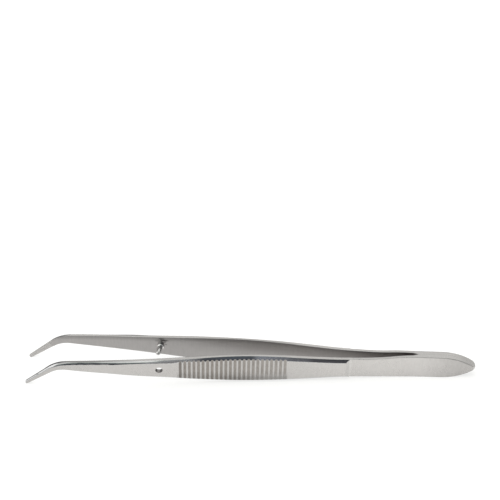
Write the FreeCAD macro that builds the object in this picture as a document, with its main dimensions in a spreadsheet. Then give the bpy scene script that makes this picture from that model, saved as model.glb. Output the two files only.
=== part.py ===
"""Cotton pliers: two forged spring arms joined at the tail, with a guide pin between them.

Lengths are in millimetres. While an arm is drawn, x = 0 is its tail end and the tips point
along -x; y = 0 is the plane where the two arms meet, and z runs across the width of an arm.
Both arms are drawn on the +y side, and the near one is then mirrored. Stations are distances
from the tail end. At the end the pliers are turned to lie on their tips and tail.
"""
import FreeCAD, Part
import math
import os
import Sketcher
from FreeCAD import Placement, Rotation, Vector

os.makedirs("parts", exist_ok=True)
doc = FreeCAD.newDocument("cotton_pliers")

# Driving sizes, each written once
SIZES = [
    # weld and spring
    ("weld_length", 19.2, "length over which the two tails are welded together"),
    ("vee_length", 1.8, "length of the blunt vee where the gap ends"),
    ("root_gap", 0.55, "half of the gap between the arms where the vee begins"),
    ("pad_thickness", 1.42, "thickness of one arm at the weld"),
    ("pad_width", 9.35, "width across the weld"),
    ("pad_bend_radius", 120, "radius where the weld pad runs into the spring"),
    ("spring_thickness", 0.85, "thickness of the springing part of an arm"),
    ("open_angle", 2.86, "angle of each arm to the middle plane when open"),
    ("ogive_start", 11.5, "station where the sides begin to run to a point"),
    ("point_radius", 0.3, "rounding of the pointed tail end, seen from the side"),
    ("tail_rounding", 1.2, "rounding of each arm's tail end, seen from above"),
    ("flare_start", 21, "station where the weld has its full width"),
    ("flare_end", 36, "station where the spring has narrowed to the shoulder's width"),
    # stations of the blade
    ("shoulder_station", 41.8, "foot of the shoulder behind the grips"),
    ("waist_station", 53, "between the shoulder and the grips"),
    ("swell_station", 66, "where the grips have nearly their full width"),
    ("crown_station", 77, "widest place of the grips"),
    ("taper_station", 88, "where the grips taper to the front"),
    ("grip_station", 99, "front end of the grips"),
    ("pin_ahead", 6.5, "guide pin and guide hole, in front of the grips"),
    ("front_station", 120, "middle of the slender front"),
    ("bend_station", 136.2, "where the tips begin to bend down"),
    ("straight_end", 110, "station where the arms begin to curve inwards"),
    ("front_curve_radius", 600, "radius of that inward curve"),
    ("bend_radius", 9, "radius of the bend, at the middle of the width"),
    ("bend_angle", 39.5, "angle of the tips to the arms"),
    ("tip_length", 10.8, "straight length of a tip in front of the bend"),
    # widths along the blade
    ("shoulder_width", 8.3, "width at the shoulder"),
    ("waist_width", 9.35, "width between the shoulder and the grips"),
    ("swell_width", 11.15, "width where the grips are nearly full"),
    ("crown_width", 11.7, "width at the widest place"),
    ("taper_width", 10.8, "width where the grips taper"),
    ("grip_width", 8.95, "width at the front of the grips"),
    ("pin_width", 7.85, "width at the guide pin"),
    ("front_width", 5.8, "width in the middle of the front"),
    ("bend_width", 3.5, "width where the bend begins"),
    ("tip_root_width", 2.35, "width where the bend ends"),
    ("tip_width", 1.2, "width at the end of a tip"),
    # height of the middle of the width above the weld's middle
    ("shoulder_rise", -0.38, "at the shoulder"),
    ("waist_rise", -0.4, "between the shoulder and the grips"),
    ("swell_rise", -0.37, "where the grips are nearly full"),
    ("crown_rise", -0.34, "at the widest place"),
    ("taper_rise", -0.28, "where the grips taper"),
    ("grip_rise", -0.145, "at the front of the grips"),
    ("pin_rise", -0.04, "at the guide pin"),
    ("front_rise", 0.216, "in the middle of the front"),
    ("bend_rise", 0.6, "where the bend begins"),
    # thickness, flat lands along the edges, and the ground outer corners
    ("blade_thickness", 1.65, "thickness from the shoulder to the guide hole"),
    ("front_thickness", 1.525, "thickness in the middle of the front"),
    ("bend_thickness", 1.4, "thickness where the bend begins"),
    ("tip_root_thickness", 1.16, "thickness where the bend ends"),
    ("tip_thickness", 0.8, "thickness at the end of a tip"),
    ("blade_land", 1, "flat part of the edge, beside the inner face"),
    ("swell_land", 0.825, "the same where the grips are nearly full"),
    ("crown_land", 0.65, "the same at the widest place"),
    ("taper_land", 0.825, "the same where the grips taper"),
    ("pin_land", 0.886, "the same at the guide hole"),
    ("bend_land", 0.62, "the same along the front, to where the bend begins"),
    ("tip_root_land", 0.54, "the same where the bend ends"),
    ("tip_land", 0.42, "the same at the end of a tip"),
    ("blade_bevel", 1.1, "width of the outer face that the ground corner takes"),
    ("pin_bevel", 0.8, "the same at the guide hole"),
    ("bend_bevel", 0.75, "the same along the front, to where the bend begins"),
    ("tip_root_bevel", 0.586, "the same where the bend ends"),
    ("tip_bevel", 0.34, "the same at the end of a tip"),
    ("blade_rounding", 7, "radius of the ground corner, from the shoulder to the taper"),
    ("grip_rounding", 2.2, "the same at the front of the grips"),
    ("pin_rounding", 1.54, "the same at the guide hole"),
    ("front_rounding", 1.05, "the same along the slender front"),
    ("tip_root_rounding", 0.83, "the same where the bend ends"),
    ("tip_rounding", 0.5, "the same at the end of a tip"),
    ("tip_end_radius", 0.66, "rounding of the tip's end, seen from the side"),
    ("shoulder_angle", 26, "slope of the shoulder behind the grips"),
    # grip grooves and jaw teeth
    ("groove_count", 24, "grooves across each grip"),
    ("groove_lead", 0.63, "from the front end of the grips back to the first groove's middle"),
    ("groove_pitch", 1.515, "distance from one groove to the next"),
    ("groove_radius", 0.69, "radius of a groove"),
    ("groove_depth", 0.27, "depth of a groove below the outer face"),
    ("tooth_count", 19, "teeth in each jaw"),
    ("tooth_pitch", 0.5, "distance from one tooth to the next"),
    ("tooth_depth", 0.16, "depth of the notch between two teeth"),
    ("tooth_margin", 0.6, "from the tip's end to the first notch"),
    # guide pin and the hole that it enters
    ("hole_diameter", 2.5, "guide hole in the near arm"),
    ("hole_chamfer", 0.15, "broken edge of the guide hole"),
    ("pin_lean", 9, "lean of the pin from square, towards the tips"),
    ("pin_length", 4.15, "from the inner face to the pin's end"),
    ("pin_diameter", 1.9, "where the pin leaves its collar"),
    ("pin_end_diameter", 1.5, "where the rounded end begins"),
    ("pin_nose", 0.5, "length of the rounded end"),
    ("collar_diameter", 2.45, "collar that seats on the far arm"),
    ("collar_height", 0.85, "height of the collar with its fillet"),
    ("collar_rim", 0.3, "height of the collar's straight rim"),
    ("shank_diameter", 1.6, "shank through the far arm"),
    ("rivet_diameter", 2.3, "riveted head, flush with the outer face"),
    ("rivet_depth", 0.45, "depth of the riveted head"),
    ("seat_clearance", 0.02, "between the pin and the far arm"),
]

sheet = doc.addObject("Spreadsheet::Sheet", "Sizes")
for row, (alias, value, meaning) in enumerate(SIZES, start=1):
    sheet.set(f"A{row}", meaning)
    sheet.set(f"B{row}", str(value))
    sheet.setAlias(f"B{row}", alias)
doc.recompute()
size = {alias: getattr(sheet, alias) for alias, _, _ in SIZES}

# Reach of the sketches that cut, past the steel that they cut away
CUTTER_REACH = 5
# Distance from which the profile of a hole comes to the face that it enters
CUTTER_LEAD = 1
# Height of a quarter circle over its chord, as a share of its radius
QUARTER_BULGE = 1 - math.sqrt(0.5)
# Shares of the bend at which it has a section of its own
BEND_SHARES = (0.25, 0.5, 0.75)


def cell(alias):
    """The expression that reads one size from the sheet."""
    return f"Sizes.{alias}"


def pin_station():
    """Station of the guide pin and of the guide hole."""
    return f"({cell('grip_station')} + {cell('pin_ahead')})"


def straight_gap(station):
    """Half of the gap at a station of the straight part of an arm."""
    root = f"({cell('weld_length')} + {cell('vee_length')})"
    return f"({cell('root_gap')} + ({station} - {root}) * tan({cell('open_angle')}))"


def curved_gap(station):
    """Half of the gap in front of the straight part, where the arm curves inwards."""
    past = f"({station} - {cell('straight_end')})"
    return f"({straight_gap(station)} - pow({past}; 2) / (2 * {cell('front_curve_radius')}))"


def worth(expression):
    """The present value of an expression."""
    value = sheet.evalExpression(expression)
    return float(getattr(value, "Value", value))


def new_body(name):
    """An empty body whose label names its piece."""
    body = doc.addObject("PartDesign::Body", name)
    body.Label = name
    return body


def new_sketch(body, name, plane):
    """A sketch on one of the body's own origin planes."""
    sketch = body.newObject("Sketcher::SketchObject", name)
    base = [item for item in body.Origin.OriginFeatures if item.Role == plane][0]
    sketch.AttachmentSupport = [(base, "")]
    sketch.MapMode = "FlatFace"
    return sketch


def new_feature(body, kind, name, **settings):
    """A feature of the body, with its settings."""
    feature = body.newObject(kind, name)
    for key, value in settings.items():
        setattr(feature, key, value)
    return feature


def bind(sketch, kind, places, expression):
    """A dimension of a sketch that follows an expression."""
    index = sketch.addConstraint(Sketcher.Constraint(kind, *places, worth(expression)))
    sketch.setExpression(f"Constraints[{index}]", expression)


def tie(sketch, kind, *places):
    """A geometric constraint of a sketch."""
    sketch.addConstraint(Sketcher.Constraint(kind, *places))


def draw_lines(sketch, points):
    """A closed outline of straight lines; line k runs from point k to point k + 1."""
    corners = [Vector(x, y, 0) for x, y in points]
    for start, end in zip(corners, corners[1:] + corners[:1]):
        sketch.addGeometry(Part.LineSegment(start, end), False)
    count = len(corners)
    for index in range(count):
        tie(sketch, "Coincident", index, 2, (index + 1) % count, 1)


def place_points(sketch, places):
    """Holds points of a sketch at positions given by expressions; None leaves one free."""
    for (geometry, end), (x, y) in places:
        for kind, expression in (("DistanceX", x), ("DistanceY", y)):
            if expression is not None:
                bind(sketch, kind, (-1, 1, geometry, end), expression)


def draw_polygon(sketch, points):
    """A closed outline whose corners are given by pairs of expressions."""
    draw_lines(sketch, [(worth(x), worth(y)) for x, y in points])
    place_points(sketch, [((index, 1), point) for index, point in enumerate(points)])


def draw_section(sketch, gap, width, thickness, land, bevel, rounding):
    """Section of an arm: flat inner face, two flat lands, two ground corners, outer face.

    Local x points away from the other arm and local y runs across the width.
    """
    inner, half = worth(gap), worth(width) / 2
    edge = inner + worth(land)
    outer = inner + worth(thickness)
    face = half - worth(bevel)
    radius = worth(rounding)
    corners = [(inner, half), (inner, -half), (edge, -half), (outer, -face), (outer, face), (edge, half)]
    points = [Vector(x, y, 0) for x, y in corners]

    def corner_arc(start, end):
        chord = end - start
        middle = (start + end) / 2
        outward = Vector(chord.y, -chord.x, 0).normalize()
        rise = radius - math.sqrt(radius**2 - chord.Length**2 / 4)
        return Part.Arc(start, middle + outward * rise, end)

    sketch.addGeometry(Part.LineSegment(points[0], points[1]), False)
    sketch.addGeometry(Part.LineSegment(points[1], points[2]), False)
    sketch.addGeometry(corner_arc(points[2], points[3]), False)
    sketch.addGeometry(Part.LineSegment(points[3], points[4]), False)
    sketch.addGeometry(corner_arc(points[4], points[5]), False)
    sketch.addGeometry(Part.LineSegment(points[5], points[0]), False)
    # An arc runs anticlockwise, as the whole outline does
    for index in range(6):
        tie(sketch, "Coincident", index, 2, (index + 1) % 6, 1)
    tie(sketch, "Symmetric", 0, 1, 0, 2, -1)
    tie(sketch, "Symmetric", 3, 1, 3, 2, -1)
    tie(sketch, "Symmetric", 5, 1, 1, 2, -1)
    tie(sketch, "Horizontal", 5)
    tie(sketch, "Equal", 2, 4)
    bind(sketch, "DistanceX", (-1, 1, 0, 1), gap)
    bind(sketch, "DistanceY", (0, 2, 0, 1), width)
    bind(sketch, "DistanceX", (0, 1, 5, 1), land)
    bind(sketch, "DistanceX", (0, 1, 3, 2), thickness)
    bind(sketch, "DistanceY", (3, 2, 5, 1), bevel)
    bind(sketch, "Radius", (2,), rounding)


def blade_section(body, name, station, rise, turn, gap, **section):
    """One section of the blade, square to its middle line, which it meets at (-station, rise)."""
    sketch = new_sketch(body, name, "YZ_Plane")
    sketch.AttachmentOffset = Placement(Vector(0, 0, 0), Rotation(Vector(-1, 0, 0), 10))
    sketch.setExpression(".AttachmentOffset.Base.y", rise)
    sketch.setExpression(".AttachmentOffset.Base.z", f"-{station}")
    sketch.setExpression(".AttachmentOffset.Rotation.Angle", turn)
    draw_section(sketch, gap, **section)
    return sketch


def bend_section(body, name, share, length="0", **section):
    """A section in the bend, or past its end by a length along the straight tip."""
    turn = f"({cell('bend_angle')} * {share})"
    radius = cell("bend_radius")
    station = f"({cell('bend_station')} + {radius} * sin({turn}) + {length} * cos({turn}))"
    rise = f"({cell('bend_rise')} - {radius} * (1 - cos({turn})) - {length} * sin({turn}))"
    return blade_section(body, name, station, rise, turn, curved_gap(station), **section)


def add_blade(body, name):
    """The forged blade from the tip's end to the shoulder, as three lofts through sections."""
    tip = bend_section(
        body, f"{name}_tip_section", 1, cell("tip_length"),
        width=cell("tip_width"), thickness=cell("tip_thickness"), land=cell("tip_land"),
        bevel=cell("tip_bevel"), rounding=cell("tip_rounding"))

    def bend_share(share):
        # The bend narrows and thins evenly from where it begins to the tip's root
        def even(begin, end):
            return f"({cell(begin)} + ({cell(end)} - {cell(begin)}) * {share})"

        return bend_section(
            body, f"{name}_bend_section_{round(100 * share)}", share,
            width=even("bend_width", "tip_root_width"),
            thickness=even("bend_thickness", "tip_root_thickness"),
            land=even("bend_land", "tip_root_land"),
            bevel=even("bend_bevel", "tip_root_bevel"),
            rounding=even("front_rounding", "tip_root_rounding"))

    bend = [bend_share(share) for share in (1,) + BEND_SHARES[::-1] + (0,)]

    def straight_section(label, station, gap, thickness, land, bevel, rounding):
        return blade_section(
            body, f"{name}_{label}_section", station, cell(f"{label}_rise"), "0", gap(station),
            width=cell(f"{label}_width"), thickness=cell(thickness), land=cell(land),
            bevel=cell(bevel), rounding=cell(rounding))

    def grip_section(label, land, rounding="blade_rounding"):
        return straight_section(
            label, cell(f"{label}_station"), straight_gap,
            "blade_thickness", land, "blade_bevel", rounding)

    front = straight_section(
        "front", cell("front_station"), curved_gap,
        "front_thickness", "bend_land", "bend_bevel", "front_rounding")
    pin = straight_section(
        "pin", pin_station(), straight_gap,
        "blade_thickness", "pin_land", "pin_bevel", "pin_rounding")
    grips = [
        grip_section("grip", "blade_land", "grip_rounding"),
        grip_section("taper", "taper_land"),
        grip_section("crown", "crown_land"),
        grip_section("swell", "swell_land"),
    ]
    waist = grip_section("waist", "blade_land")
    shoulder = grip_section("shoulder", "blade_land")
    doc.recompute()
    new_feature(body, "PartDesign::AdditiveLoft", f"{name}_tip", Profile=tip, Sections=[bend[0]], Ruled=True)
    new_feature(body, "PartDesign::AdditiveLoft", f"{name}_bend", Profile=bend[0], Sections=bend[1:])
    new_feature(
        body, "PartDesign::AdditiveLoft", f"{name}_blade",
        Profile=bend[-1], Sections=[front, pin, *grips, waist, shoulder])
    doc.recompute()


def draw_path(sketch, pieces):
    """A closed outline of lines and arcs, and which ends of its parts meet where.

    Each piece is (end point, bulge, smooth): a bulge of None gives a line, a positive one an
    arc that turns left on its way and a negative one an arc that turns right, by that height
    over its chord. A smooth piece runs tangentially into the next. The first piece starts at
    the last piece's end. Returned are, for each piece, the references of its start and end.
    """
    ends = []
    previous = Vector(*pieces[-1][0], 0)
    for point, bulge, _ in pieces:
        start = previous
        end = Vector(*point, 0)
        if bulge is None:
            index = sketch.addGeometry(Part.LineSegment(start, end), False)
            ends.append(((index, 1), (index, 2)))
        else:
            along = (end - start).normalize()
            middle = (start + end) / 2 + Vector(along.y, -along.x, 0) * bulge
            if bulge > 0:
                index = sketch.addGeometry(Part.Arc(start, middle, end), False)
                ends.append(((index, 1), (index, 2)))
            else:
                index = sketch.addGeometry(Part.Arc(end, middle, start), False)
                ends.append(((index, 2), (index, 1)))
        previous = end
    for index, (_, _, smooth) in enumerate(pieces):
        following = ends[(index + 1) % len(ends)][0]
        tie(sketch, "Tangent" if smooth else "Coincident", *ends[index][1], *following)
    return ends


def add_spring(body, name):
    """The weld pad and the spring, up to the foot of the shoulder."""
    # Seen from above: the gap's vee on the inner side, a soft bend and a round end on the outer
    vee_end = f"({cell('weld_length')} + {cell('vee_length')})"
    foot = cell("shoulder_station")
    foot_gap = straight_gap(foot)
    foot_outer = f"({foot_gap} + {cell('spring_thickness')})"
    pad_thickness = worth(cell("pad_thickness"))
    slope = math.tan(math.radians(size["open_angle"]))
    turn = size["pad_bend_radius"] * slope / 2
    corner = size["shoulder_station"] - (worth(foot_outer) - pad_thickness) / slope
    bulge = turn * slope / 4
    tail = size["tail_rounding"]
    plan = new_sketch(body, f"{name}_spring_plan", "XY_Plane")
    ends = draw_path(plan, [
        ((-size["weld_length"], 0), None, False),
        ((-worth(vee_end), size["root_gap"]), None, False),
        ((-worth(foot), worth(foot_gap)), None, False),
        ((-worth(foot), worth(foot_outer)), None, False),
        ((-corner - turn, pad_thickness + turn * slope), None, True),
        ((-corner + turn, pad_thickness), bulge, True),
        ((-tail, pad_thickness), None, True),
        ((0, pad_thickness - tail), -tail * QUARTER_BULGE, True),
        ((0, 0), None, False),
    ])
    place_points(plan, [
        (ends[0][0], ("0", "0")),
        (ends[1][0], (f"-{cell('weld_length')}", "0")),
        (ends[2][0], (f"-{vee_end}", cell("root_gap"))),
        (ends[3][0], (f"-{foot}", foot_gap)),
        (ends[4][0], (f"-{foot}", foot_outer)),
        (ends[7][0], (None, cell("pad_thickness"))),
    ])
    tie(plan, "Horizontal", 6)
    tie(plan, "Vertical", 8)
    tie(plan, "Parallel", 2, 4)
    bind(plan, "Radius", (5,), cell("pad_bend_radius"))
    bind(plan, "Radius", (7,), cell("tail_rounding"))
    doc.recompute()
    spring = new_feature(
        body, "PartDesign::Pad", f"{name}_spring", Profile=plan, SideType="Symmetric")
    spring.setExpression("Length", f"2 * {cell('pad_width')}")

    # Seen from the side: the flare from the spring to the weld, and the pointed tail
    half = f"({cell('pad_width')} / 2)"
    top = f"({cell('shoulder_rise')} + {cell('shoulder_width')} / 2)"
    bottom = f"({cell('shoulder_rise')} - {cell('shoulder_width')} / 2)"
    ahead = f"-({cell('shoulder_station')} + {CUTTER_REACH})"
    flare = (size["flare_start"] + size["flare_end"]) / 2
    radius = size["point_radius"]
    high, low, wide = worth(top), worth(bottom), worth(half)
    run = size["ogive_start"] - radius
    ogive = (run**2 + wide**2 - radius**2) / (2 * (wide - radius))
    toward = Vector(run, ogive - wide, 0).normalize() * radius
    ogive_chord = math.hypot(run + toward.x, wide - toward.y)
    ogive_bulge = ogive - math.sqrt(ogive**2 - ogive_chord**2 / 4)
    reach = size["pad_width"]

    def flare_bulge(rise):
        return rise / 8

    outline = new_sketch(body, f"{name}_side_outline", "XZ_Plane")
    ends = draw_path(outline, [
        ((-size["flare_end"], high), None, True),
        ((-flare, (high + wide) / 2), flare_bulge(wide - high), True),
        ((-size["flare_start"], wide), -flare_bulge(wide - high), True),
        ((-size["ogive_start"], wide), None, True),
        ((toward.x - radius, toward.y), -ogive_bulge, True),
        ((toward.x - radius, -toward.y), -(radius - toward.x), True),
        ((-size["ogive_start"], -wide), -ogive_bulge, True),
        ((-size["flare_start"], -wide), None, True),
        ((-flare, (low - wide) / 2), -flare_bulge(low + wide), True),
        ((-size["flare_end"], low), flare_bulge(low + wide), True),
        ((worth(ahead), low), None, False),
        ((worth(ahead), -reach), None, False),
        ((CUTTER_REACH, -reach), None, False),
        ((CUTTER_REACH, reach), None, False),
        ((worth(ahead), reach), None, False),
        ((worth(ahead), high), None, False),
    ])
    for index in (0, 3, 7, 10, 12, 14):
        tie(outline, "Horizontal", index)
    for index in (11, 13, 15):
        tie(outline, "Vertical", index)
    tie(outline, "Equal", 1, 2)
    tie(outline, "Equal", 8, 9)
    place_points(outline, [
        (ends[0][0], (ahead, top)),
        (ends[1][0], (f"-{cell('flare_end')}", None)),
        (ends[3][0], (f"-{cell('flare_start')}", half)),
        (ends[4][0], (f"-{cell('ogive_start')}", None)),
        (ends[7][0], (f"-{cell('ogive_start')}", f"-{half}")),
        (ends[8][0], (f"-{cell('flare_start')}", None)),
        (ends[10][0], (f"-{cell('flare_end')}", bottom)),
        (ends[11][0], (ahead, None)),
        (ends[13][0], (str(CUTTER_REACH), f"-{cell('pad_width')}")),
        (ends[14][0], (None, cell("pad_width"))),
    ])
    # The apex lies on the middle line, and its rounding ends the pliers at x = 0
    tie(outline, "PointOnObject", 5, 3, -1)
    bind(outline, "Radius", (5,), cell("point_radius"))
    bind(outline, "DistanceX", (-1, 1, 5, 3), f"-{cell('point_radius')}")
    doc.recompute()
    new_feature(
        body, "PartDesign::Pocket", f"{name}_side_cut", Profile=outline,
        Type="ThroughAll", SideType="Symmetric")
    doc.recompute()


def cut(body, name, sketch):
    """A pocket right through the body, to both sides of its sketch."""
    return new_feature(
        body, "PartDesign::Pocket", name, Profile=sketch, Type="ThroughAll", SideType="Symmetric")


def repeat(body, name, feature, sketch, spacing, count):
    """Repeats a cut along its sketch's construction line; all of them are the body's tip."""
    pattern = new_feature(
        body, "PartDesign::LinearPattern", name, Originals=[feature], Direction=(sketch, ["Axis0"]))
    pattern.setExpression("Length", f"{cell(spacing)} * ({cell(count)} - 1)")
    pattern.setExpression("Occurrences", cell(count))
    body.Tip = pattern
    doc.recompute()
    return pattern


def add_shoulder(body, name):
    """The sloping step from the spring's thickness up to the blade's."""
    foot = cell("shoulder_station")
    level = f"({straight_gap(foot)} + {cell('spring_thickness')})"
    climb = f"({CUTTER_REACH} * tan({cell('shoulder_angle')} + {cell('open_angle')}))"
    sketch = new_sketch(body, f"{name}_shoulder_profile", "XY_Plane")
    draw_polygon(sketch, [
        (f"-{foot}", level),
        (f"-({foot} - 1)", f"({level} + {climb})"),
        (f"-({foot} + {CUTTER_REACH})", f"({level} + {climb})"),
    ])
    doc.recompute()
    cut(body, f"{name}_shoulder", sketch)


def tip_frame(sketch, axis):
    """Turns a sketch with the tip: its origin goes to the tip's end, x runs back along the tip."""
    station = (
        f"({cell('bend_station')} + {cell('bend_radius')} * sin({cell('bend_angle')})"
        f" + {cell('tip_length')} * cos({cell('bend_angle')}))")
    rise = (
        f"({cell('bend_rise')} - {cell('bend_radius')} * (1 - cos({cell('bend_angle')}))"
        f" - {cell('tip_length')} * sin({cell('bend_angle')}))")
    sketch.AttachmentOffset = Placement(Vector(0, 0, 0), Rotation(axis, 10))
    sketch.setExpression(".AttachmentOffset.Base.x", f"-{station}")
    height = ".AttachmentOffset.Base.z" if axis.y else ".AttachmentOffset.Base.y"
    sketch.setExpression(height, rise)
    sketch.setExpression(".AttachmentOffset.Rotation.Angle", cell("bend_angle"))
    return station


def add_tip_end(body, name):
    """Rounds the end of the tip, seen from the side."""
    sketch = new_sketch(body, f"{name}_tip_round", "XZ_Plane")
    tip_frame(sketch, Vector(0, 0, 1))
    radius = size["tip_end_radius"]
    reach = 2 * size["tip_width"]
    ends = draw_path(sketch, [
        ((0, 0), radius * QUARTER_BULGE, True),
        ((radius, -radius), radius * QUARTER_BULGE, False),
        ((radius, -reach), None, False),
        ((-reach, -reach), None, False),
        ((-reach, reach), None, False),
        ((radius, reach), None, False),
        ((radius, radius), None, False),
    ])
    edge = f"(2 * {cell('tip_width')})"
    rounding = cell("tip_end_radius")
    place_points(sketch, [
        (ends[1][0], ("0", "0")),
        (ends[2][0], (rounding, f"-{rounding}")),
        (ends[3][0], (rounding, f"-{edge}")),
        (ends[4][0], (f"-{edge}", f"-{edge}")),
        (ends[5][0], (f"-{edge}", edge)),
        (ends[6][0], (rounding, edge)),
        (ends[0][0], (rounding, rounding)),
    ])
    bind(sketch, "Radius", (0,), rounding)
    doc.recompute()
    cut(body, f"{name}_tip_end", sketch)


def add_teeth(body, name):
    """Notches across the inner face of the straight tip."""
    sketch = new_sketch(body, f"{name}_tooth_profile", "XY_Plane")
    station = tip_frame(sketch, Vector(0, -1, 0))
    root = f"({cell('bend_station')} + {cell('bend_radius')} * sin({cell('bend_angle')}))"
    face = curved_gap(station)
    slope = f"(({curved_gap(root)} - {face}) / {cell('tip_length')})"
    first = cell("tooth_margin")
    level = f"({face} + {first} * {slope})"
    depth = cell("tooth_depth")
    draw_polygon(sketch, [
        (first, f"({level} + {depth})"),
        (f"({first} - {cell('tooth_pitch')})", f"({level} - {depth})"),
        (f"({first} + {cell('tooth_pitch')})", f"({level} - {depth})"),
    ])
    start = Vector(worth(first), worth(level), 0)
    along = Vector(1, worth(slope), 0)
    line = sketch.addGeometry(Part.LineSegment(start, start + along), True)
    place_points(sketch, [
        ((line, 1), (first, level)),
        ((line, 2), (f"({first} + 1)", f"({level} + {slope})")),
    ])
    doc.recompute()
    notch = cut(body, f"{name}_tooth_notch", sketch)
    repeat(body, f"{name}_teeth", notch, sketch, "tooth_pitch", "tooth_count")


def add_grooves(body, name):
    """Round-bottomed grooves across the grip, side by side along the outer face."""
    station = f"({cell('grip_station')} - {cell('groove_lead')})"
    slant = cell("open_angle")
    lift = f"({cell('groove_radius')} - {cell('groove_depth')})"
    x = f"(-{station} + {lift} * sin({slant}))"
    y = f"({straight_gap(station)} + {cell('blade_thickness')} + {lift} * cos({slant}))"
    sketch = new_sketch(body, f"{name}_groove_profile", "XY_Plane")
    centre = Vector(worth(x), worth(y), 0)
    circle = sketch.addGeometry(Part.Circle(centre, Vector(0, 0, 1), size["groove_radius"]), False)
    bind(sketch, "Radius", (circle,), cell("groove_radius"))
    along = Vector(worth(f"cos({slant})"), -worth(f"sin({slant})"), 0)
    line = sketch.addGeometry(Part.LineSegment(centre, centre + along), True)
    place_points(sketch, [
        ((circle, 3), (x, y)),
        ((line, 1), (x, y)),
        ((line, 2), (f"({x} + cos({slant}))", f"({y} - sin({slant}))")),
    ])
    doc.recompute()
    groove = cut(body, f"{name}_grip_groove", sketch)
    repeat(body, f"{name}_grip_grooves", groove, sketch, "groove_pitch", "groove_count")


def pin_sketch(body, name, turn):
    """A sketch with its origin on the inner face at the pin; y points into the steel.

    The turn is measured from square to the middle plane, towards the tips.
    """
    sketch = new_sketch(body, name, "XY_Plane")
    sketch.AttachmentOffset = Placement(Vector(0, 0, 0), Rotation(Vector(0, 0, -1), 10))
    sketch.setExpression(".AttachmentOffset.Base.x", f"-{pin_station()}")
    sketch.setExpression(".AttachmentOffset.Base.y", straight_gap(pin_station()))
    sketch.setExpression(".AttachmentOffset.Base.z", cell("pin_rise"))
    sketch.setExpression(".AttachmentOffset.Rotation.Angle", turn)
    return sketch


def bore(body, name, sketch):
    """A turned hole whose profile is the sketch, about the sketch's vertical axis."""
    doc.recompute()
    before = body.Shape.Volume
    new_feature(body, "PartDesign::Groove", name, Profile=sketch, ReferenceAxis=(sketch, ["V_Axis"]))
    doc.recompute()
    if math.isclose(before, body.Shape.Volume, rel_tol=1e-6):
        raise ValueError(f"{name} removes nothing")


def add_guide_hole(body, name):
    """The hole that the guide pin enters, with its edge broken on the inner face."""
    radius = f"({cell('hole_diameter')} / 2)"
    sketch = pin_sketch(body, f"{name}_hole_profile", cell("open_angle"))
    draw_polygon(sketch, [
        ("0", f"-{CUTTER_LEAD}"),
        (f"({radius} + {cell('hole_chamfer')} + {CUTTER_LEAD})", f"-{CUTTER_LEAD}"),
        (radius, cell("hole_chamfer")),
        (radius, str(CUTTER_REACH)),
        ("0", str(CUTTER_REACH)),
    ])
    bore(body, f"{name}_guide_hole", sketch)


def add_rivet_hole(body, name):
    """The countersunk hole that the guide pin is riveted into."""
    shank = f"({cell('shank_diameter')} / 2 + {cell('seat_clearance')})"
    head = f"({cell('rivet_diameter')} / 2 + {cell('seat_clearance')})"
    seat = f"({cell('blade_thickness')} - {cell('rivet_depth')})"
    sketch = pin_sketch(body, f"{name}_hole_profile", cell("open_angle"))
    draw_polygon(sketch, [
        ("0", f"-{CUTTER_LEAD}"),
        (shank, f"-{CUTTER_LEAD}"),
        (shank, seat),
        (f"(2 * {head} - {shank})", f"({cell('blade_thickness')} + {cell('rivet_depth')})"),
        ("0", f"({cell('blade_thickness')} + {cell('rivet_depth')})"),
    ])
    bore(body, f"{name}_rivet_hole", sketch)


def make_arm(name, add_hole):
    """One arm, drawn on the +y side of the middle plane."""
    body = new_body(name)
    add_spring(body, name)
    add_blade(body, name)
    add_shoulder(body, name)
    add_tip_end(body, name)
    add_hole(body, name)
    add_grooves(body, name)
    add_teeth(body, name)
    return body


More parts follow.
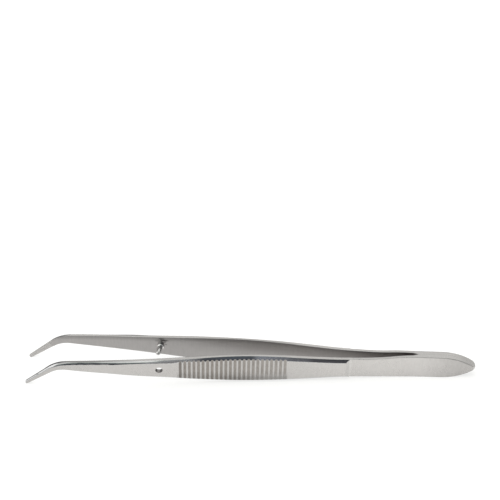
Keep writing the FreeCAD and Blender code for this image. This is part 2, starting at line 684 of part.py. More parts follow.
def make_guide_pin():
    """The guide pin: riveted shank, collar on the inner face, and a shaft that leans to the tips."""
    body = new_body("guide_pin")
    shank = f"({cell('shank_diameter')} / 2)"
    head = f"({cell('rivet_diameter')} / 2)"
    collar = f"({cell('collar_diameter')} / 2)"
    shaft = f"({cell('pin_diameter')} / 2)"
    end = f"({cell('pin_end_diameter')} / 2)"
    seat = f"({cell('blade_thickness')} - {cell('rivet_depth')})"
    fillet = f"({cell('collar_height')} - {cell('collar_rim')})"
    sketch = pin_sketch(body, "pin_rivet_profile", cell("open_angle"))
    rim, height, clear = size["collar_rim"], size["collar_height"], size["seat_clearance"]
    ends = draw_path(sketch, [
        ((worth(head), size["blade_thickness"]), None, False),
        ((0, size["blade_thickness"]), None, False),
        ((0, -height), None, False),
        ((worth(shaft), -height), None, False),
        ((worth(collar), -rim), 0.1, False),
        ((worth(collar), -clear), None, False),
        ((worth(shank), -clear), None, False),
        ((worth(shank), worth(seat)), None, False),
    ])
    place_points(sketch, [
        (ends[0][0], (shank, seat)),
        (ends[1][0], (head, cell("blade_thickness"))),
        (ends[2][0], ("0", cell("blade_thickness"))),
        (ends[3][0], ("0", f"-{cell('collar_height')}")),
        (ends[4][0], (shaft, f"-{cell('collar_height')}")),
        (ends[5][0], (collar, f"-{cell('collar_rim')}")),
        (ends[6][0], (collar, f"-{cell('seat_clearance')}")),
        (ends[7][0], (shank, f"-{cell('seat_clearance')}")),
    ])
    bind(sketch, "Radius", (4,), f"({fillet})")
    doc.recompute()
    new_feature(
        body, "PartDesign::Revolution", "pin_rivet", Profile=sketch, ReferenceAxis=(sketch, ["V_Axis"]))

    lean = f"({cell('open_angle')} + {cell('pin_lean')})"
    # The lowest edge of the leaning shaft starts inside the collar's rim, clear of the far arm
    start = f"({shaft} * tan({cell('pin_lean')}) + {cell('collar_rim')} / 2)"
    sketch = pin_sketch(body, "pin_shaft_profile", lean)
    length, nose = size["pin_length"], size["pin_nose"]
    edge = worth(end)
    radius = (edge**2 + nose**2) / (2 * nose)
    bulge = radius - math.sqrt(radius**2 - (edge**2 + nose**2) / 4)
    ends = draw_path(sketch, [
        ((edge, -(length - nose)), bulge, False),
        ((worth(shaft), -worth(start)), None, False),
        ((0, -worth(start)), None, False),
        ((0, -length), None, False),
    ])
    place_points(sketch, [
        (ends[0][0], ("0", f"-{cell('pin_length')}")),
        (ends[1][0], (end, f"-({cell('pin_length')} - {cell('pin_nose')})")),
        (ends[2][0], (shaft, f"-{start}")),
        (ends[3][0], ("0", f"-{start}")),
    ])
    tie(sketch, "PointOnObject", 0, 3, -2)
    doc.recompute()
    new_feature(
        body, "PartDesign::Revolution", "pin_shaft", Profile=sketch, ReferenceAxis=(sketch, ["V_Axis"]))
    doc.recompute()
    return body


def resting_turn():
    """Turn about the y axis, in degrees, that lays tips and tail on one level line.

    The line touches the rounding of the tips and the curve of the pointed tail from below.
    """
    angle = math.radians(size["bend_angle"])
    straight = size["tip_length"] - size["tip_end_radius"]
    tip_x = -(size["bend_station"] + size["bend_radius"] * math.sin(angle) + straight * math.cos(angle))
    tip_z = size["bend_rise"] - size["bend_radius"] * (1 - math.cos(angle)) - straight * math.sin(angle)
    half = size["pad_width"] / 2
    run = size["ogive_start"] - size["point_radius"]
    ogive = (run**2 + half**2 - size["point_radius"]**2) / (2 * (half - size["point_radius"]))
    across = Vector(-size["ogive_start"] - tip_x, ogive - half - tip_z, 0)
    slope = math.atan2(across.y, across.x)
    return math.degrees(slope + math.asin((size["tip_end_radius"] - ogive) / across.Length))


far_arm = make_arm("far_arm", add_rivet_hole)
near_blank = make_arm("near_blank", add_guide_hole)
guide_pin = make_guide_pin()
near_arm = doc.addObject("Part::Mirroring", "near_arm")
near_arm.Label = "near_arm"
near_arm.Source = near_blank
near_arm.Normal = Vector(0, 1, 0)
doc.recompute()

# The pliers lie on their tips and tail, with the origin below the middle of the whole
turn = Placement(Vector(0, 0, 0), Rotation(Vector(0, 1, 0), resting_turn()))
box = FreeCAD.BoundBox()
for piece in (far_arm, near_arm):
    turned = piece.Shape.copy()
    turned.Placement = turn.multiply(turned.Placement)
    box.add(turned.optimalBoundingBox(True, False))
rest = Placement(Vector(-(box.XMin + box.XMax) / 2, 0, -box.ZMin), turn.Rotation)
for piece in (far_arm, near_blank, guide_pin):
    piece.Placement = rest
doc.recompute()

faults = [item.Name for item in doc.Objects if {"Invalid", "Error"} & set(item.State)]
if faults:
    raise ValueError(f"not built: {faults}")
for piece in (near_arm, far_arm, guide_pin):
    shape = piece.Shape
    if shape.isNull() or not shape.isValid() or len(shape.Solids) != 1:
        raise ValueError(f"{piece.Label} is not one sound solid")
    shape.exportStep(f"parts/{piece.Label}.step")
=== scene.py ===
"""Cotton pliers lying on a white studio floor, seen as in the photograph.

Lengths are in metres unless a comment says millimetres. The pliers lie along x with the tail
at +x, and the arm nearest to the camera is on the -y side. Every piece is a CAD node whose
mesh stays as it is; this file gives the nodes their steel. A station is a distance from the
tail's end along the pliers, a level is a height above their middle line, and both are in
millimetres in the drawing of an arm, before the pliers were laid down.

A step is two places between which a value changes smoothly, and often also the value before
and after them. A tone is a share that is added to the brightness of a finish.
"""
import bpy
import math
from mathutils import Matrix, Vector
from types import SimpleNamespace

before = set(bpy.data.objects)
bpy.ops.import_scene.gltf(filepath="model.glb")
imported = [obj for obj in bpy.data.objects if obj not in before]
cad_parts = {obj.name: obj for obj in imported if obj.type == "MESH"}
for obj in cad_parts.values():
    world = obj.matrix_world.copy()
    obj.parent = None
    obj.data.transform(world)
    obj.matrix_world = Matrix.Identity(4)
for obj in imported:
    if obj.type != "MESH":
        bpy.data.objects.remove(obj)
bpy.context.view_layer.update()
scene = bpy.context.scene
MM = 0.001

# Camera: direction, roll, distance and offsets of the lens axis (mm), pixels per mm, frame
AZIMUTH, ELEVATION, ROLL = 2.0, 43.5, -0.812
DISTANCE, ACROSS, UP = 600.0, -0.485, -41.071
SCALE, PIXELS = 2.9662, 500
SENSOR_WIDTH, CLIP_START, CLIP_END = 36, 0.01, 20

# Where the arms' drawing lies in the frame: its origin (x and z, mm) and its turn about y
TAIL_X, TAIL_Z, TURN = 75.286, 4.357, 1.609
# An arm's inner face leaves the middle plane at this station, half a gap wide, and opens evenly
GAP_STATION, ROOT_GAP, OPEN_ANGLE, BLADE_THICKNESS = 21.0, 0.55, 2.86, 1.65
# Stations of the shoulder's foot, of both ends of the grips, and of the pin
SHOULDER, GRIP_BACK, GRIP_FRONT, PIN = 41.8, 62.7, 99.0, 105.5
GROOVE_DEPTH, HOLE_RADIUS, PIN_LEVEL = 0.27, 1.25, -0.04
# Where the pin's rounded end is, and where its riveted head begins in the far arm, along y
PIN_END, PIN_HEAD = 0.69, 5.6
# Upper edge of an arm: station and level
UPPER_EDGE = (
    (0, 0.2), (0.5, 0.73), (1, 1.15), (6, 3.77), (10, 4.62), (20, 4.67), (24, 4.65),
    (30, 4.22), (36, 3.77), (41.8, 3.77), (53, 4.27), (66, 5.2), (77, 5.51), (88, 5.12),
    (99, 4.33), (105.5, 3.88), (120, 3.12), (136.2, 2.35), (148, 1.0),
)
# Reach of the ramp that holds the upper edge, in station and level
EDGE_RANGE, EDGE_HEIGHT = 150.0, 6.0

# Finishes of the arms: colour, roughness and how far the grain is drawn out along x, y and z
SATIN_OUTER = ((0.566, 0.549, 0.534), 0.30, (1.5, 1.5, 5.0))
SATIN_INNER = ((0.530, 0.512, 0.502), 0.33, (1.0, 1.0, 9.0))
GROUND_EDGE = ((0.600, 0.585, 0.570), 0.24, (12.0, 1.0, 1.0))
POLISHED_CORNER = ((0.620, 0.620, 0.622), 0.09, (16.0, 1.0, 1.0))
# The groove finish's dark colour is painted shade in the grooves; its roughness and grain are its
# own
SHADED_COINED_GROOVE = ((0.315, 0.290, 0.268), 0.34, (1.0, 1.0, 7.0))
# The hole finish's dark colour is painted shade inside the hole; its roughness is the drilled
# wall's own
SHADED_DRILLED_HOLE = ((0.330, 0.315, 0.305), 0.36, (1.0, 1.0, 1.0))
COLOUR, ROUGHNESS, DRAW = range(3)

# Steps by the outward share of a face's direction, and by its upward share, up or down
FACES_IN, FACES_OUT, TURNED_OUT = (-0.80, -0.93), (0.90, 0.97), (0.1, 0.3)
CORNER_FACES, CORNER_SOFT, CORNER_UP = (0.10, 0.935), 0.03, (0.16, 0.26)
LAND_FACES, LAND_UP = (0.25, 0.12), (0.50, 0.70)
GROOVE_UP, HOLE_SIDEWAYS = (0.24, 0.16), (0.9, 0.8)

# Painted reflection and shade on the arms' faces, as steps by station
OUTER_PAINTED_REFLECTION = ((3.0, 20.0, -0.17, 0.08), (30.0, 66.0, 0.05, -0.06), (126.0, 146.0, 0.0, -0.10))
INNER_PAINTED_LIGHT = ((22.0, 34.0, 0.20, 0.0), (50.0, 105.0, 0.01, -0.22))
TAIL_END_PAINTED_SHADE = (10.0, 1.0, 0.0, -0.22)
# Painted shade of the inner faces by the depth under the upper edge, and of the dark line on the
# tail
UNDER_EDGE_PAINTED_SHADE = (0.0, 2.2, -0.24, 0.0)
PAINTED_TAIL_LINE, PAINTED_TAIL_LINE_SHADE = (0.42, 0.10), (SHOULDER, SHOULDER - 8.0, 0.0, -0.26)
# Tone of the grips by level, and of the grey band along the lower edge of their rear part
LOW_GRIP_TONE = (-0.5, -4.2, 0.0, -0.22)
BAND_TONE, BAND_STATIONS = (-3.0, -4.3, 0.0, -0.18), (90.0, 80.0)
# How far the hindmost grooves go without the grooves' painted shade and finish, by level, and
# where they begin
UNSHADED_GROOVE, UNSHADED_STATIONS = (-1.5, -4.4, 0.18, 0.80), (84.0, 66.0)
# Painted shade in the groove at the front end of the grips, and a painted highlight at the
# shoulder's foot
FIRST_GROOVE_PAINTED_SHADE, FOOT_PAINTED_HIGHLIGHT = -0.22, 0.12
# Near arm: how much painted shade darkens its flat edge and its corner towards the tip
FRONT_LAND_PAINTED_SHADE, FRONT_CORNER_PAINTED_SHADE, FRONT_STATIONS = -0.42, -0.22, (112.0, 126.0)
# Far arm: how much darker its edge is over the rear of the grips; from, to and softness
REAR_LAND_TONE, REAR_STATIONS = -0.17, (62.0, 84.0, 6.0)

# Polished corner, matt between the grips and the pin: from, to and softness, loss of metal
MATT_STATIONS, MATT_METAL = (92.5, 111.0, 3.0), -0.24
# Painted bluish reflection on the near arm's upper corner: from, to and softness, steps of its
# strength by station and by level, loss of metal
BLUE_REFLECTION_STATIONS, BLUE_REFLECTION_STRENGTH = (55.5, 73.5, 1.5), (55.0, 72.0, 0.45, 1.0)
BLUE_REFLECTION_LEVELS, BLUE_REFLECTION_METAL, BLUE_REFLECTION_COLOUR = (0.0, 2.0), -0.22, (0.525, 0.55, 0.605)

# Dark polishing residue on the far arm's inner face: station, level, half width, half height,
# strength
RESIDUE = (
    (104.0, 2.55, 1.15, 0.55, 0.72),
    (104.6, 1.60, 1.00, 0.28, 0.55),
    (103.7, 0.70, 0.30, 0.30, 0.55),
    (106.8, 2.20, 0.80, 0.40, 0.25),
)
RESIDUE_COLOUR = (0.045, 0.040, 0.045)

# Colours of the guide pin and of its riveted head
PIN_COLOUR, HEAD_COLOUR = (0.80, 0.79, 0.78), (0.50, 0.485, 0.47)

# White floor: reflectance for the light that it throws on, and as the camera sees it
FLOOR_GREY, FLOOR_SEEN = 0.70, 0.97
# Share of the floor's white that is a level of its own, as of a lit table, to the eye and in
# the steel
FLOOR_GLOW, GLOW_IN_STEEL = 0.72, 0.60
GLOW_COLOUR = (1.0, 1.0, 0.99)
FLOOR_REACH, FLOOR_DROP = 2.5, -0.02 * MM

# Studio round the pliers, by the angle from the horizon on the camera's side, over the top, to
# the horizon behind: angle in degrees, red, green, blue
STUDIO = (
    (0, 0.11, 0.11, 0.12),
    (5, 0.075, 0.075, 0.082),
    (10, 0.065, 0.064, 0.070),
    (24, 0.080, 0.083, 0.095),
    (38, 0.120, 0.135, 0.155),
    (50, 0.125, 0.140, 0.145),
    (55, 0.175, 0.195, 0.190),
    (60, 0.42, 0.47, 0.44),
    (70, 0.70, 0.75, 0.71),
    (84, 1.05, 1.07, 1.04),
    (96, 1.10, 1.10, 1.08),
    (108, 0.88, 0.88, 0.865),
    (120, 0.86, 0.86, 0.85),
    (148, 0.84, 0.84, 0.83),
    (160, 0.45, 0.45, 0.46),
    (172, 0.20, 0.20, 0.21),
)
# The overhead box is turned a little, so that its lower edge climbs to the right (degrees)
BOX_SLANT = 60.0
# A tall box on the left, which the bent tips and the pin's left side show: steps by the shares
# of a direction along x, y and z
LEFT_BOX = (1.7, 1.7, 1.68)
LEFT_BOX_X, LEFT_BOX_Y, LEFT_BOX_Z = (-0.60, -0.72), (0.25, 0.05), (0.06, 0.14)
# Grey walls on both sides, which keep the steel from going black when it is seen from behind:
# steps by the share along x, and by the angle
SIDE_WALL = (0.42, 0.43, 0.44)
SIDE_WALL_X, SIDE_WALL_ANGLE = (0.42, 0.66), (62.0, 48.0)

# Soft lamp: place, width and depth, power in watts, colour
LAMP_PLACE, LAMP_SIZE, LAMP_POWER = (-0.25, -0.05, 0.9), (1.2, 0.9), 11.0
LAMP_COLOUR = (1.0, 0.985, 0.96)


class Nodes:
    """Short calls for building a node tree."""

    def __init__(self, tree):
        self.tree = tree

    def set(self, node, key, value):
        """Links a socket into an input, or writes a plain value there."""
        if isinstance(value, bpy.types.NodeSocket):
            self.tree.links.new(value, node.inputs[key])
        else:
            node.inputs[key].default_value = value

    def add(self, kind, inputs=None, **settings):
        """A new node with its settings and inputs."""
        node = self.tree.nodes.new(kind)
        for key, value in settings.items():
            setattr(node, key, value)
        for key, value in (inputs or {}).items():
            self.set(node, key, value)
        return node

    def maths(self, operation, *values):
        """One operation of the Math node."""
        return self.add("ShaderNodeMath", dict(enumerate(values)), operation=operation).outputs[0]

    def times(self, first, *others):
        """The product of two or more numbers."""
        for other in others:
            first = self.maths("MULTIPLY", first, other)
        return first

    def plus(self, first, *others):
        """The sum of two or more numbers."""
        for other in others:
            first = self.maths("ADD", first, other)
        return first

    def less(self, first, second):
        """The first number without the second."""
        return self.maths("SUBTRACT", first, second)

    def square(self, value):
        """A number times itself."""
        return self.maths("POWER", value, 2.0)

    def ramp(self, value, low, high, to_low=0.0, to_high=1.0):
        """A smooth step: to_low below low, to_high above high."""
        node = self.add(
            "ShaderNodeMapRange", {"Value": value, 1: low, 2: high, 3: to_low, 4: to_high},
            interpolation_type="SMOOTHSTEP")
        return node.outputs[0]

    def between(self, value, low, high, soft):
        """1 between low and high, 0 outside, with soft edges."""
        return self.times(
            self.ramp(value, low - soft, low + soft),
            self.ramp(value, high - soft, high + soft, 1.0, 0.0))

    def spread(self, noise, reach):
        """A noise spread from -reach to +reach."""
        return self.ramp(noise, 0.3, 0.7, -reach, reach)

    def noise(self, vector, scale, stretch=(1, 1, 1), detail=4.0, rough=0.55):
        """Noise with about `scale` features in a metre, drawn out along the axes by stretch."""
        mapped = self.add(
            "ShaderNodeMapping", {"Vector": vector, "Scale": [scale / s for s in stretch]})
        node = self.add(
            "ShaderNodeTexNoise",
            {"Vector": mapped.outputs[0], "Scale": 1.0, "Detail": detail, "Roughness": rough})
        return node.outputs["Fac"]

    def mix(self, factor, first, second):
        """The first number where the factor is 0, the second where it is 1."""
        node = self.add("ShaderNodeMix", {0: factor, 2: first, 3: second}, data_type="FLOAT")
        return node.outputs[0]

    def blend(self, factor, first, second):
        """The first colour where the factor is 0, the second where it is 1."""
        first, second = (
            (*colour, 1.0) if isinstance(colour, tuple) else colour for colour in (first, second))
        node = self.add("ShaderNodeMix", {0: factor, 6: first, 7: second}, data_type="RGBA")
        return node.outputs[2]

    def dim(self, colour, level):
        """A colour times a number."""
        scale = self.add("ShaderNodeVectorMath", {0: colour, 3: level}, operation="SCALE")
        return scale.outputs[0]

    def axes(self, vector):
        """The three parts of a vector."""
        return self.add("ShaderNodeSeparateXYZ", {"Vector": vector}).outputs


def new_group(name, inputs, outputs):
    """An empty shader group with named sockets, and its input and output nodes."""
    tree = bpy.data.node_groups.new(name, "ShaderNodeTree")
    for label, kind, value in inputs:
        socket = tree.interface.new_socket(label, in_out="INPUT", socket_type=kind)
        if value is not None:
            socket.default_value = value
    for label in outputs:
        tree.interface.new_socket(label, in_out="OUTPUT", socket_type="NodeSocketFloat")
    nodes = Nodes(tree)
    given = nodes.add("NodeGroupInput").outputs
    out = nodes.add("NodeGroupOutput")

    def finish(**values):
        for label, value in values.items():
            nodes.set(out, label, value)
        return tree

    return nodes, given, finish


def make_grain():
    """Ground steel: long streaks, hair-fine lines and slow clouds, each about 0.5 in the middle.

    Along x, y and z the features are Draw times as long.
    """
    nodes, given, finish = new_group(
        "steel_grain",
        [("Vector", "NodeSocketVector", None), ("Draw", "NodeSocketVector", (1.0, 1.0, 1.0))],
        ("Streaks", "Fine", "Clouds"))
    drawn = nodes.add(
        "ShaderNodeVectorMath", {0: given["Vector"], 1: given["Draw"]},
        operation="DIVIDE").outputs[0]
    return finish(
        Streaks=nodes.noise(drawn, 2600, detail=5, rough=0.6),
        Fine=nodes.noise(drawn, 9000, detail=3, rough=0.6),
        Clouds=nodes.noise(given["Vector"], 240, (1.6, 1, 1), 4, 0.5))


def make_wear():
    """Handling marks: a few hair scratches that cross the grain, and small dull specks."""
    nodes, given, finish = new_group(
        "steel_wear", [("Vector", "NodeSocketVector", None)], ("Scratches", "Specks"))
    vector = given["Vector"]
    wobble = nodes.add("ShaderNodeTexNoise", {"Vector": vector, "Scale": 300.0, "Detail": 2.0})
    shift = nodes.dim(wobble.outputs["Color"], 1.6 * MM)
    bent = nodes.add("ShaderNodeVectorMath", {0: vector, 1: shift}, operation="ADD").outputs[0]
    turned = nodes.add(
        "ShaderNodeMapping", {"Vector": bent, "Rotation": (0.3, 0.5, 0.2)}).outputs[0]
    return finish(
        Scratches=nodes.ramp(nodes.noise(turned, 1500, (9, 0.7, 0.7), 2, 0.4), 0.68, 0.74),
        Specks=nodes.ramp(nodes.noise(vector, 1500, (1, 1, 1), 3, 0.6), 0.62, 0.74))


GRAIN, WEAR = make_grain(), make_wear()


def new_steel(name):
    """An empty material, its object coordinates and the masks of its wear."""
    material = bpy.data.materials.new(name)
    material.use_nodes = True
    tree = material.node_tree
    tree.nodes.clear()
    nodes = Nodes(tree)
    place = nodes.add("ShaderNodeTexCoord").outputs["Object"]
    wear = nodes.add("ShaderNodeGroup", node_tree=WEAR)
    nodes.set(wear, "Vector", place)
    return material, nodes, place, wear.outputs["Scratches"], wear.outputs["Specks"]


def fill_ramp(band, stops):
    """Fills a colour ramp with stops of position, red, green and blue, joined by straight runs."""
    band.elements.remove(band.elements[-1])
    for index, (position, *colour) in enumerate(stops):
        element = band.elements[0] if index == 0 else band.elements.new(position)
        element.position = position
        element.color = (*colour, 1)


def grain_of(nodes, place, draw):
    """Streaks, fine lines and clouds of the grain, drawn out by a vector or a socket."""
    node = nodes.add("ShaderNodeGroup", node_tree=GRAIN)
    nodes.set(node, "Vector", place)
    nodes.set(node, "Draw", draw)
    return (node.outputs[key] for key in ("Streaks", "Fine", "Clouds"))


def finish_steel(nodes, colour, roughness, height, rounding, strength, metal):
    """The steel's shader, with its relief and a small rounding of every sharp edge (metres)."""
    edge = nodes.add("ShaderNodeBevel", {"Radius": rounding}, samples=8)
    relief = nodes.add(
        "ShaderNodeBump",
        {"Strength": strength, "Distance": 0.02 * MM, "Height": height, "Normal": edge.outputs[0]})
    shader = nodes.add(
        "ShaderNodeBsdfPrincipled",
        {"Base Color": colour, "Metallic": metal, "Roughness": roughness,
         "Normal": relief.outputs[0]})
    out = nodes.add("ShaderNodeOutputMaterial")
    nodes.set(out, "Surface", shader.outputs[0])


def arm_spot(nodes, place, side):
    """Where a spot lies in the drawing of an arm, in mm, and which way it faces."""
    drawing = nodes.add(
        "ShaderNodeMapping",
        {"Vector": place, "Location": (TAIL_X * MM, 0, TAIL_Z * MM),
         "Rotation": (0, math.radians(TURN), 0), "Scale": (MM, MM, MM)},
        vector_type="TEXTURE").outputs[0]
    x, y, level = nodes.axes(drawing)
    _, sideways, upwards = nodes.axes(nodes.add("ShaderNodeTexCoord").outputs["Normal"])
    station, out = nodes.times(x, -1.0), nodes.times(y, float(side))
    slope = math.tan(math.radians(OPEN_ANGLE))
    face = nodes.maths(
        "MULTIPLY_ADD", station, slope, ROOT_GAP + BLADE_THICKNESS - GAP_STATION * slope)
    edge = nodes.add("ShaderNodeValToRGB", {"Fac": nodes.maths("DIVIDE", station, EDGE_RANGE)})
    fill_ramp(
        edge.color_ramp,
        [(at / EDGE_RANGE, *(height / EDGE_HEIGHT,) * 3) for at, height in UPPER_EDGE])
    return SimpleNamespace(
        station=station, level=level, out=out,
        outward=nodes.times(sideways, float(side)),
        sideways=nodes.maths("ABSOLUTE", sideways),
        upright=nodes.maths("ABSOLUTE", upwards),
        # Depth below the blade's outer face, and depth under the arm's upper edge
        below=nodes.less(face, out),
        under=nodes.less(nodes.times(edge.outputs[0], EDGE_HEIGHT), level))


def arm_masks(nodes, at):
    """Where each finish lies on an arm, and where its edge is flat and its grips are."""
    on_grip = nodes.between(at.station, GRIP_BACK, GRIP_FRONT + 0.5, 0.1)
    turned_out = nodes.ramp(at.outward, *TURNED_OUT)
    unshaded = nodes.times(
        nodes.ramp(at.station, *UNSHADED_STATIONS), nodes.ramp(at.level, *UNSHADED_GROOVE))
    from_pin = nodes.maths("SQRT", nodes.plus(
        nodes.square(nodes.less(at.station, PIN)), nodes.square(nodes.less(at.level, PIN_LEVEL))))
    return SimpleNamespace(
        inner=nodes.ramp(at.outward, *FACES_IN),
        outer=nodes.ramp(at.outward, *FACES_OUT),
        corner=nodes.times(
            nodes.ramp(at.station, SHOULDER, SHOULDER + 0.6),
            nodes.between(at.outward, *CORNER_FACES, CORNER_SOFT),
            nodes.ramp(at.upright, *CORNER_UP)),
        groove=nodes.times(
            on_grip, nodes.ramp(at.below, 0.02, 0.75 * GROOVE_DEPTH),
            nodes.ramp(at.upright, *GROOVE_UP), turned_out, nodes.less(1.0, unshaded)),
        hole=nodes.times(
            nodes.ramp(from_pin, HOLE_RADIUS + 0.25, HOLE_RADIUS + 0.1),
            nodes.ramp(at.sideways, *HOLE_SIDEWAYS)),
        land=nodes.times(nodes.ramp(at.upright, *LAND_UP), nodes.ramp(at.outward, *LAND_FACES)),
        grip=nodes.times(on_grip, turned_out))


def laid_over(nodes, masks, part):
    """A part of the finishes (colour, roughness or draw), laid over each other by the masks."""
    # The groove and hole finishes carry painted shade in their dark colours
    layers = (
        (masks.inner, SATIN_INNER), (masks.outer, SATIN_OUTER), (masks.corner, POLISHED_CORNER),
        (masks.groove, SHADED_COINED_GROOVE), (masks.hole, SHADED_DRILLED_HOLE))
    join = nodes.mix if part == ROUGHNESS else nodes.blend
    value = GROUND_EDGE[part]
    for mask, finish in layers:
        value = join(mask, value, finish[part])
    return value


def arm_tone(nodes, at, masks, side):
    """The tone of an arm from place to place, much of it painted shade, highlights and
    reflections.
    """
    tones = [
        # Painted shade darkens the groove at the front end of the grips
        nodes.times(
            masks.groove, nodes.between(at.station, GRIP_FRONT - 1.3, GRIP_FRONT + 0.1, 0.25),
            FIRST_GROOVE_PAINTED_SHADE),
        # Painted shade darkens the inner faces towards the front and under the upper edge, and
        # painted light lifts the shade at their root
        nodes.times(masks.inner, nodes.plus(
            nodes.ramp(at.under, *UNDER_EDGE_PAINTED_SHADE),
            *(nodes.ramp(at.station, *step) for step in INNER_PAINTED_LIGHT))),
        # Painted reflection: the outer faces are darker at both ends
        nodes.times(
            masks.outer, nodes.plus(*(nodes.ramp(at.station, *step) for step in OUTER_PAINTED_REFLECTION))),
        # The grips are darker towards their lower edge
        nodes.times(masks.grip, nodes.plus(
            nodes.ramp(at.level, *LOW_GRIP_TONE),
            nodes.times(
                nodes.ramp(at.level, *BAND_TONE), nodes.ramp(at.station, *BAND_STATIONS)))),
        # A painted highlight marks the shoulder's foot as a bright line
        nodes.times(
            nodes.ramp(at.outward, 0.5, 0.8),
            nodes.between(at.station, SHOULDER - 0.2, SHOULDER + 0.5, 0.15), FOOT_PAINTED_HIGHLIGHT),
        # Painted shade: the tail's edge is darker at its very end, and a thin painted dark line
        # parts it from the face
        nodes.times(masks.land, nodes.ramp(at.station, *TAIL_END_PAINTED_SHADE)),
        nodes.times(
            masks.outer, nodes.ramp(at.under, *PAINTED_TAIL_LINE),
            nodes.ramp(at.station, *PAINTED_TAIL_LINE_SHADE)),
    ]
    if side < 0:
        # Painted shade: the near arm's upper edge darkens towards the tip
        tones.append(nodes.times(
            nodes.plus(
                nodes.times(masks.land, FRONT_LAND_PAINTED_SHADE),
                nodes.times(masks.corner, FRONT_CORNER_PAINTED_SHADE)),
            nodes.ramp(at.station, *FRONT_STATIONS)))
    else:
        # The far arm's upper edge is a little darker over the rear of the grips
        tones.append(nodes.times(
            masks.land, nodes.between(at.station, *REAR_STATIONS), REAR_LAND_TONE))
    return nodes.plus(*tones)


def stain_mask(nodes, place, at, spots):
    """Ragged dark spots, each given by station, level, half width, half height and strength."""
    ragged = nodes.maths(
        "MULTIPLY_ADD", nodes.noise(place, 1100, (1, 1, 1), 3, 0.6), 1.6, -0.8)
    stain = 0.0
    for station, level, half_width, half_height, strength in spots:
        across = nodes.maths("DIVIDE", nodes.less(at.station, station), half_width)
        along = nodes.maths("DIVIDE", nodes.less(at.level, level), half_height)
        away = nodes.maths("SQRT", nodes.plus(nodes.square(across), nodes.square(along)))
        spot = nodes.ramp(nodes.plus(away, ragged), 0.55, 1.15, strength, 0.0)
        stain = nodes.maths("MAXIMUM", stain, spot)
    return stain


def arm_steel(name, side, residue=()):
    """The steel of one arm; side is -1 for the near arm and +1 for the far one.

    The finishes are told apart by where a spot lies in the arm's drawing and which way it
    faces: outwards, inwards, or up and down along the edges, with the polished corners
    between the edge and the outer face.
    """
    material, nodes, place, scratches, specks = new_steel(name)
    at = arm_spot(nodes, place, side)
    masks = arm_masks(nodes, at)
    colour, roughness, draw = (
        laid_over(nodes, masks, part) for part in (COLOUR, ROUGHNESS, DRAW))
    streaks, fine, clouds = grain_of(nodes, place, draw)

    # The grain shows as a slight unevenness of tone, more in the satin than in the polish
    satin = nodes.ramp(roughness, 0.1, 0.3, 0.35, 1.0)
    grain = nodes.plus(
        nodes.spread(streaks, 0.03), nodes.spread(clouds, 0.022), nodes.spread(fine, 0.025))
    tone = nodes.plus(
        nodes.maths("MULTIPLY_ADD", grain, satin, 1.0), nodes.times(specks, -0.03),
        arm_tone(nodes, at, masks, side))
    # Grime in the grooves, in patches
    patches = nodes.noise(place, 1600, (1, 1, 2), 4, 0.6)
    grime = nodes.times(masks.groove, nodes.ramp(patches, 0.35, 0.7, -0.08, 0.16))
    colour = nodes.dim(colour, nodes.times(tone, nodes.less(1.0, grime)))
    if residue:
        stain = nodes.times(stain_mask(nodes, place, at, residue), masks.inner)
        colour = nodes.blend(stain, colour, RESIDUE_COLOUR)
        roughness = nodes.maths("MULTIPLY_ADD", stain, 0.15, roughness)

    uneven = nodes.plus(nodes.spread(clouds, 0.03), nodes.spread(fine, 0.03))
    roughness = nodes.maths("MULTIPLY_ADD", uneven, satin, roughness)
    roughness = nodes.plus(roughness, nodes.times(scratches, 0.06))
    height = nodes.plus(nodes.times(fine, 0.7), nodes.times(streaks, 0.5))
    height = nodes.less(nodes.times(height, satin), nodes.times(scratches, 0.25))
    # Edges are rounded a little, more along the tail, but not at its weld
    rounding = nodes.mix(
        nodes.ramp(at.station, SHOULDER - 2.0, SHOULDER + 1.0),
        nodes.ramp(at.out, 0.5, 1.0, 0.04, 0.32), 0.14)
    # Between the grips and the pin the polished corner is a little matt
    matt = nodes.times(masks.corner, nodes.between(at.station, *MATT_STATIONS))
    metal = nodes.maths("MULTIPLY_ADD", matt, MATT_METAL, 1.0)
    if side < 0:
        # Behind the middle of the grips the near arm's upper corner has a faint painted bluish
        # reflection
        blue_reflection = nodes.times(
            masks.corner, nodes.between(at.station, *BLUE_REFLECTION_STATIONS),
            nodes.ramp(at.station, *BLUE_REFLECTION_STRENGTH), nodes.ramp(at.level, *BLUE_REFLECTION_LEVELS))
        metal = nodes.maths("MULTIPLY_ADD", blue_reflection, BLUE_REFLECTION_METAL, metal)
        colour = nodes.blend(blue_reflection, colour, BLUE_REFLECTION_COLOUR)
    finish_steel(nodes, colour, roughness, height, nodes.times(rounding, MM), 0.22, metal)
    return material


def pin_steel():
    """The turned guide pin: brighter than the arms, with a dull end and a head ground flush."""
    material, nodes, place, scratches, specks = new_steel("turned_pin")
    streaks, fine, clouds = grain_of(nodes, place, (6.0, 1.0, 6.0))
    along = nodes.axes(place)[1]
    head = nodes.ramp(along, PIN_HEAD * MM, (PIN_HEAD + 0.2) * MM)
    end = nodes.ramp(along, (PIN_END + 1.3) * MM, (PIN_END + 0.7) * MM)
    tone = nodes.plus(nodes.ramp(streaks, 0.3, 0.7, 0.93, 1.05), nodes.times(specks, -0.06))
    colour = nodes.dim(nodes.blend(head, PIN_COLOUR, HEAD_COLOUR), tone)
    colour = nodes.dim(colour, nodes.maths("MULTIPLY_ADD", end, -0.28, 1.0))
    roughness = nodes.plus(nodes.ramp(clouds, 0.3, 0.7, 0.15, 0.23), nodes.times(scratches, 0.06))
    roughness = nodes.maths("MULTIPLY_ADD", nodes.plus(end, head), 0.12, roughness)
    metal = nodes.maths("MULTIPLY_ADD", end, -0.30, 1.0)
    height = nodes.plus(nodes.times(streaks, 0.8), nodes.times(fine, 0.4))
    finish_steel(nodes, colour, roughness, height, 0.08 * MM, 0.2, metal)
    return material


def give(node, material):
    """Puts a material in every slot of a CAD node."""
    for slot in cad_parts[node].material_slots:
        slot.material = material


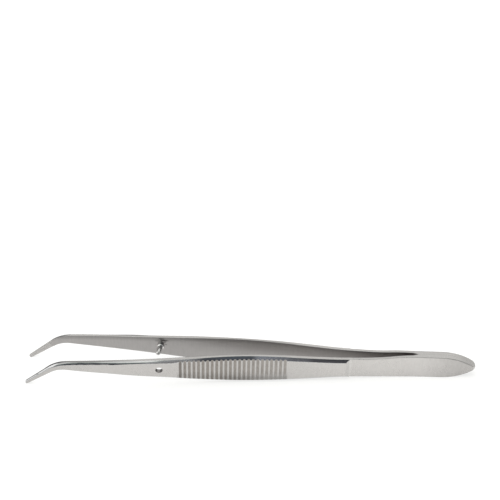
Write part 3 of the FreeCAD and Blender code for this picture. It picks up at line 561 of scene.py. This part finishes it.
def make_camera():
    """The camera: its axes turned by azimuth, elevation and roll, its lens from the scale."""
    a, e, roll = (math.radians(v) for v in (AZIMUTH, ELEVATION, ROLL))
    forward = Vector((-math.sin(a) * math.cos(e), math.cos(a) * math.cos(e), -math.sin(e)))
    right = Vector((math.cos(a), math.sin(a), 0))
    up = right.cross(forward)
    place = -DISTANCE * forward - ACROSS * right - UP * up
    turned_right = right * math.cos(roll) + up * math.sin(roll)
    turned_up = -right * math.sin(roll) + up * math.cos(roll)
    data = bpy.data.cameras.new("photo_camera")
    data.sensor_width = SENSOR_WIDTH
    data.lens = data.sensor_width * SCALE * DISTANCE / PIXELS
    data.clip_start, data.clip_end = CLIP_START, CLIP_END
    camera = bpy.data.objects.new("photo_camera", data)
    scene.collection.objects.link(camera)
    axes = Matrix((turned_right, turned_up, -forward)).transposed().to_4x4()
    camera.matrix_world = Matrix.Translation(place * MM) @ axes
    scene.camera = camera


def make_floor():
    """A plain matt white floor, just under the lowest points of tips and tail."""
    data = bpy.data.meshes.new("floor")
    signs = ((-1, -1), (1, -1), (1, 1), (-1, 1))
    corners = [(x * FLOOR_REACH, y * FLOOR_REACH, FLOOR_DROP) for x, y in signs]
    data.from_pydata(corners, [], [(0, 1, 2, 3)])
    floor = bpy.data.objects.new("floor", data)
    scene.collection.objects.link(floor)
    material = bpy.data.materials.new("white_floor")
    material.use_nodes = True
    material.node_tree.nodes.clear()
    nodes = Nodes(material.node_tree)
    place = nodes.add("ShaderNodeTexCoord").outputs["Object"]
    path = nodes.add("ShaderNodeLightPath").outputs
    seen, mirrored = path["Is Camera Ray"], path["Is Glossy Ray"]
    tone = nodes.ramp(nodes.noise(place, 900, (1, 1, 1), 3, 0.5), 0.2, 0.8, 0.985, 1.0)
    level = nodes.times(tone, nodes.mix(seen, FLOOR_GREY, FLOOR_SEEN))
    colour = nodes.add("ShaderNodeCombineColor", {0: level, 1: level, 2: level})
    paper = nodes.add("ShaderNodeBsdfDiffuse", {"Color": colour.outputs[0]})
    glow = nodes.add("ShaderNodeEmission", {"Color": (*GLOW_COLOUR, 1.0), "Strength": 1.0})
    share = nodes.plus(nodes.times(seen, FLOOR_GLOW), nodes.times(mirrored, GLOW_IN_STEEL))
    both = nodes.add("ShaderNodeMixShader", {0: share, 1: paper.outputs[0], 2: glow.outputs[0]})
    out = nodes.add("ShaderNodeOutputMaterial")
    nodes.set(out, "Surface", both.outputs[0])
    data.materials.append(material)


def make_studio():
    """Soft boxes overhead, behind and on the left, and a dark room behind the camera."""
    world = bpy.data.worlds.new("studio")
    world.use_nodes = True
    scene.world = world
    world.node_tree.nodes.clear()
    nodes = Nodes(world.node_tree)
    x, y, z = nodes.axes(nodes.add("ShaderNodeTexCoord").outputs["Generated"])
    angle = nodes.maths("DEGREES", nodes.maths("ARCTAN2", z, nodes.times(y, -1.0)))
    angle = nodes.less(angle, nodes.times(x, BOX_SLANT))
    ramp = nodes.add("ShaderNodeValToRGB", {"Fac": nodes.maths("DIVIDE", angle, 180.0)})
    fill_ramp(ramp.color_ramp, [(degrees / 180, *colour) for degrees, *colour in STUDIO])
    walls = nodes.times(
        nodes.ramp(nodes.maths("ABSOLUTE", x), *SIDE_WALL_X), nodes.ramp(angle, *SIDE_WALL_ANGLE))
    room = nodes.blend(walls, ramp.outputs[0], SIDE_WALL)
    left = nodes.times(
        nodes.ramp(x, *LEFT_BOX_X), nodes.ramp(y, *LEFT_BOX_Y), nodes.ramp(z, *LEFT_BOX_Z))
    colour = nodes.blend(left, room, LEFT_BOX)
    background = nodes.add("ShaderNodeBackground", {"Color": colour, "Strength": 1.0})
    out = nodes.add("ShaderNodeOutputWorld")
    nodes.set(out, "Surface", background.outputs[0])


def make_lamp():
    """One soft lamp high on the left, which gives the floor its faint shadow."""
    data = bpy.data.lights.new("soft_lamp", "AREA")
    data.shape = "RECTANGLE"
    data.size, data.size_y = LAMP_SIZE
    data.energy = LAMP_POWER
    data.color = LAMP_COLOUR
    lamp = bpy.data.objects.new("soft_lamp", data)
    lamp.location = LAMP_PLACE
    lamp.rotation_euler = (-lamp.location).to_track_quat("-Z", "Y").to_euler()
    lamp.visible_glossy = False
    scene.collection.objects.link(lamp)


give("near_arm", arm_steel("near_arm_steel", -1))
give("far_arm", arm_steel("far_arm_steel", 1, RESIDUE))
give("guide_pin", pin_steel())
make_camera()
make_floor()
make_studio()
make_lamp()
scene.view_settings.view_transform = "Standard"
